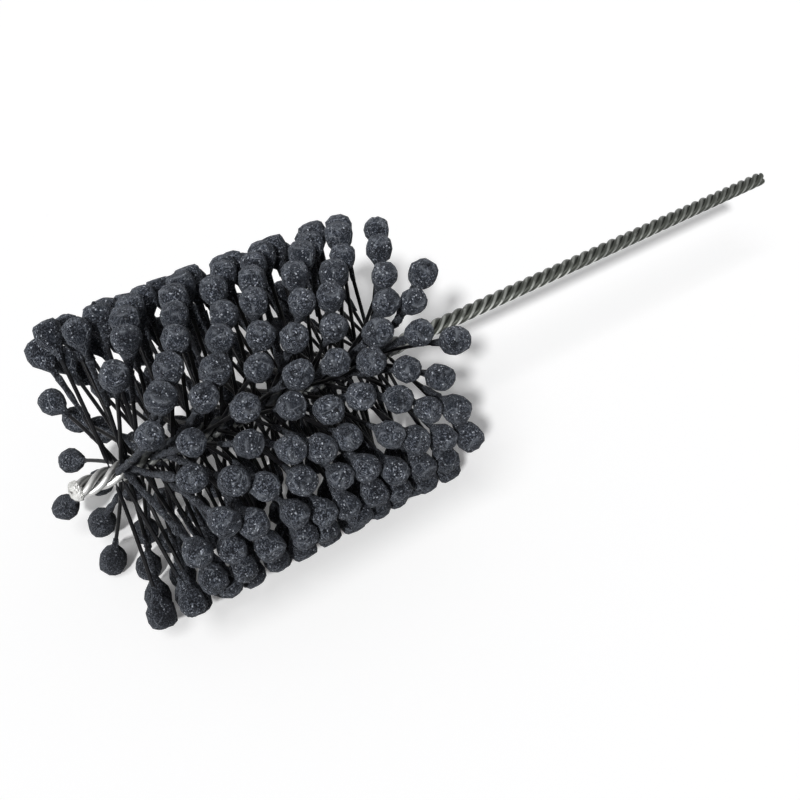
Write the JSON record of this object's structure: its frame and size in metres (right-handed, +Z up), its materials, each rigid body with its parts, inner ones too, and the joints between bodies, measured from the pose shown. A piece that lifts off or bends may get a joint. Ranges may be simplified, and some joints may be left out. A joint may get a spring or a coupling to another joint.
{
  "type": "abrasive bore brush",
  "caption": "Flexible ball hone for finishing a bore: dark abrasive globules on nylon filaments that stand out in spirals from a stem of twisted steel wire, with a bare drill shank.",
  "frame": {"origin": "centre of the shank's cut end, on the stem's axis", "axes": "+X along the stem from the tip in the head to the shank's end, +Z up as the brush lies on its globules"},
  "size_m": [0.343, 0.108, 0.1077],
  "materials": {
    "stem_steel": "satin",
    "nylon": "satin",
    "abrasive": "matte"
  },
  "bodies": {
    "root": {"filament_row_01": "nylon", "filament_row_02": "nylon", "filament_row_03": "nylon", "filament_row_04": "nylon", "filament_row_05": "nylon", "filament_row_06": "nylon", "filament_row_07": "nylon", "filament_row_08": "nylon", "filament_row_09": "nylon", "filament_row_10": "nylon", "filament_row_11": "nylon", "filament_row_12": "nylon", "filament_row_13": "nylon", "filament_row_14": "nylon", "filament_row_15": "nylon", "filament_row_16": "nylon", "filament_row_17": "nylon", "filament_row_18": "nylon", "filament_row_19": "nylon", "filament_row_20": "nylon", "filament_row_21": "nylon", "filament_row_22": "nylon", "filament_row_23": "nylon", "globule_row_01": "abrasive", "globule_row_02": "abrasive", "globule_row_03": "abrasive", "globule_row_04": "abrasive", "globule_row_05": "abrasive", "globule_row_06": "abrasive", "globule_row_07": "abrasive", "globule_row_08": "abrasive", "globule_row_09": "abrasive", "globule_row_10": "abrasive", "globule_row_11": "abrasive", "globule_row_12": "abrasive", "globule_row_13": "abrasive", "globule_row_14": "abrasive", "globule_row_15": "abrasive", "globule_row_16": "abrasive", "globule_row_17": "abrasive", "globule_row_18": "abrasive", "globule_row_19": "abrasive", "globule_row_20": "abrasive", "globule_row_21": "abrasive", "globule_row_22": "abrasive", "globule_row_23": "abrasive", "stem_wire_1": "stem_steel", "stem_wire_2": "stem_steel", "stem_wire_3": "stem_steel", "stem_wire_4": "stem_steel"}
  },
  "joints": []
}
